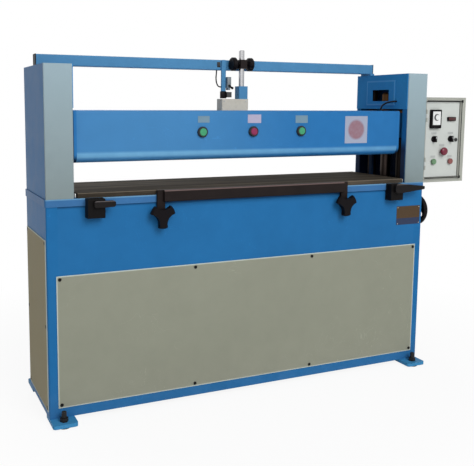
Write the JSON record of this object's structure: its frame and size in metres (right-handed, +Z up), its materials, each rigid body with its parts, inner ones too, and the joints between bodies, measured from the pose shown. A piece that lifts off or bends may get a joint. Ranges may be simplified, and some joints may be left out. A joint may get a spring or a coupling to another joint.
{
  "type": "hydraulic beam die cutting press",
  "caption": "Floor-standing hydraulic die cutting press: box beam on end towers over a long flat table, panelled cabinet, stroke-setting rod and side control box.",
  "frame": {"origin": "on the floor under the middle of the whole machine, control box included", "axes": "+X to the operator's right along the beam, +Y away from the operator, +Z up"},
  "size_m": [2.142, 0.536, 1.525],
  "materials": {
    "machine_blue": "glossy blue enamel on welded steel",
    "panel_beige": "satin beige-grey paint on sheet steel",
    "cover_grey": "satin blue-grey paint on steel plate",
    "box_grey": "satin pale grey paint on sheet steel",
    "dark_steel": "dark ground or blacked steel",
    "bright_steel": "ground bare steel",
    "chrome_rod": "hard-chromed and polished steel",
    "brass_fittings": "machined brass",
    "tank_paint": "dark grey paint",
    "black_plastic": "moulded black thermoset",
    "switch_beige": "moulded beige plastic",
    "bezel_metal": "plated ring",
    "green_plastic": "moulded green cap",
    "red_plastic": "moulded red cap",
    "black_rubber": "rubber-sheathed cable"
  },
  "bodies": {
    "base": {"end_frames": "machine_blue", "bottom_rails": "machine_blue", "bed_aprons": "machine_blue", "bed_ribs": "machine_blue", "deck_plate": "machine_blue", "tower_shells": "machine_blue", "inner_guards": "machine_blue", "top_crossbar": "machine_blue", "switch_post": "machine_blue", "foot_plates": "machine_blue", "front_panel": "panel_beige", "rear_panel": "panel_beige", "side_panels": "panel_beige", "tower_covers": "cover_grey", "control_box": "box_grey", "work_table": "dark_steel", "front_fence": "dark_steel", "lock_blocks": "dark_steel", "levelling_bolts": "dark_steel", "rod_clamp": "dark_steel", "guide_columns": "bright_steel", "cylinder_barrels": "bright_steel", "cylinder_glands": "bright_steel", "pressure_pipes": "bright_steel", "relief_valve": "bright_steel", "valve_manifold": "bright_steel", "oil_tank": "tank_paint", "pump_motor": "tank_paint", "limit_switches": "black_plastic", "switch_cable": "black_rubber", "beam_cable": "black_rubber"},
    "beam": {"press_beam": "machine_blue", "beam_end_lugs": "machine_blue", "guide_bushes": "brass_fittings", "piston_rods": "chrome_rod", "rod_nuts": "brass_fittings", "switch_box": "switch_beige", "button_bezels": "bezel_metal"},
    "beam_button_left": {"beam_button_left": "green_plastic"},
    "beam_button_center": {"beam_button_center": "red_plastic"},
    "beam_button_right": {"beam_button_right": "green_plastic"},
    "setting_rod": {"setting_rod": "chrome_rod", "rod_foot_block": "machine_blue"},
    "left_star_knob": {"left_star_knob": "black_plastic"},
    "right_star_knob": {"right_star_knob": "black_plastic"},
    "left_clamp_knob": {"left_clamp_knob": "black_plastic"},
    "right_clamp_knob": {"right_clamp_knob": "black_plastic"},
    "left_lock_lever": {"left_lock_lever": "dark_steel"},
    "right_lock_lever": {"right_lock_lever": "dark_steel"},
    "pressure_handwheel": {"pressure_handwheel": "black_plastic"},
    "balance_shaft": {"balance_shaft": "bright_steel"},
    "box_door": {"box_door": "box_grey", "door_instruments": "black_plastic"},
    "door_latch": {"door_latch": "bright_steel"},
    "left_selector": {"left_selector": "black_plastic"},
    "right_selector": {"right_selector": "black_plastic"},
    "emergency_stop": {"emergency_stop": "red_plastic"},
    "start_button": {"start_button": "green_plastic"},
    "stop_button": {"stop_button": "red_plastic"},
    "switch_lever": {"switch_lever": "black_plastic"}
  },
  "joints": [
    {"name": "beam_slide", "type": "slide", "parent": "base", "child": "beam", "axis": [0, 0, 1], "range_m": [-0.1, 0], "deforming": ["beam_cable"]},
    {"name": "beam_button_left_press", "type": "slide", "parent": "beam", "child": "beam_button_left", "axis": [0, 1, 0], "range_m": [0, 0.004], "stiffness_N_per_m": 800},
    {"name": "beam_button_center_press", "type": "slide", "parent": "beam", "child": "beam_button_center", "axis": [0, 1, 0], "range_m": [0, 0.004], "stiffness_N_per_m": 800},
    {"name": "beam_button_right_press", "type": "slide", "parent": "beam", "child": "beam_button_right", "axis": [0, 1, 0], "range_m": [0, 0.004], "stiffness_N_per_m": 800},
    {"name": "setting_rod_slide", "type": "slide", "parent": "base", "child": "setting_rod", "axis": [0, 0, 1], "range_m": [0, 0.07]},
    {"name": "left_star_knob_turn", "type": "hinge", "parent": "base", "child": "left_star_knob", "pos_m": [-0.127, 0.076, 1.461], "axis": [1, 0, 0], "range_deg": [0, 360]},
    {"name": "right_star_knob_turn", "type": "hinge", "parent": "base", "child": "right_star_knob", "pos_m": [-0.043, 0.076, 1.461], "axis": [1, 0, 0], "range_deg": [0, 360]},
    {"name": "left_clamp_knob_turn", "type": "hinge", "parent": "base", "child": "left_clamp_knob", "pos_m": [-0.597, -0.23, 0.823], "axis": [0, 1, 0], "range_deg": [0, 360]},
    {"name": "right_clamp_knob_turn", "type": "hinge", "parent": "base", "child": "right_clamp_knob", "pos_m": [0.303, -0.23, 0.823], "axis": [0, 1, 0], "range_deg": [0, 360]},
    {"name": "left_lock_lever_lift", "type": "hinge", "parent": "base", "child": "left_lock_lever", "pos_m": [-0.877, -0.252, 0.887], "axis": [0, -1, 0], "range_deg": [0, 90]},
    {"name": "right_lock_lever_lift", "type": "hinge", "parent": "base", "child": "right_lock_lever", "pos_m": [0.583, -0.252, 0.887], "axis": [0, -1, 0], "range_deg": [0, 90]},
    {"name": "pressure_handwheel_turn", "type": "hinge", "parent": "base", "child": "pressure_handwheel", "pos_m": [0.783, -0.132, 0.762], "axis": [1, 0, 0], "range_deg": [-360, 360]},
    {"name": "balance_shaft_turn", "type": "hinge", "parent": "base", "child": "balance_shaft", "pos_m": [-0.147, -0.09645, 0.72], "axis": [1, 0, 0], "range_deg": [-32.3, 0]},
    {"name": "box_door_swing", "type": "hinge", "parent": "base", "child": "box_door", "pos_m": [0.8185, -0.155, 1.106], "axis": [0, 0, -1], "range_deg": [0, 110]},
    {"name": "door_latch_turn", "type": "hinge", "parent": "box_door", "child": "door_latch", "pos_m": [1.0165, -0.15, 1.106], "axis": [0, 1, 0], "range_deg": [0, 90]},
    {"name": "left_selector_turn", "type": "hinge", "parent": "box_door", "child": "left_selector", "pos_m": [0.875, -0.155, 1.111], "axis": [0, 1, 0], "range_deg": [-45, 45]},
    {"name": "right_selector_turn", "type": "hinge", "parent": "box_door", "child": "right_selector", "pos_m": [0.981, -0.155, 1.111], "axis": [0, 1, 0], "range_deg": [-45, 45]},
    {"name": "emergency_stop_press", "type": "slide", "parent": "box_door", "child": "emergency_stop", "axis": [0, 1, 0], "range_m": [0, 0.004], "stiffness_N_per_m": 1500},
    {"name": "start_button_press", "type": "slide", "parent": "box_door", "child": "start_button", "axis": [0, 1, 0], "range_m": [0, 0.004], "stiffness_N_per_m": 800},
    {"name": "stop_button_press", "type": "slide", "parent": "box_door", "child": "stop_button", "axis": [0, 1, 0], "range_m": [0, 0.004], "stiffness_N_per_m": 800},
    {"name": "switch_lever_lift", "type": "hinge", "parent": "base", "child": "switch_lever", "pos_m": [-0.1425, 0.086, 1.3625], "axis": [0, -1, 0], "range_deg": [0, 20], "stiffness_Nm_per_rad": 0.08}
  ],
  "couplings": [
    {"joint": "balance_shaft_turn", "follows": "beam_slide", "rad_per_m": 5.6296}
  ]
}
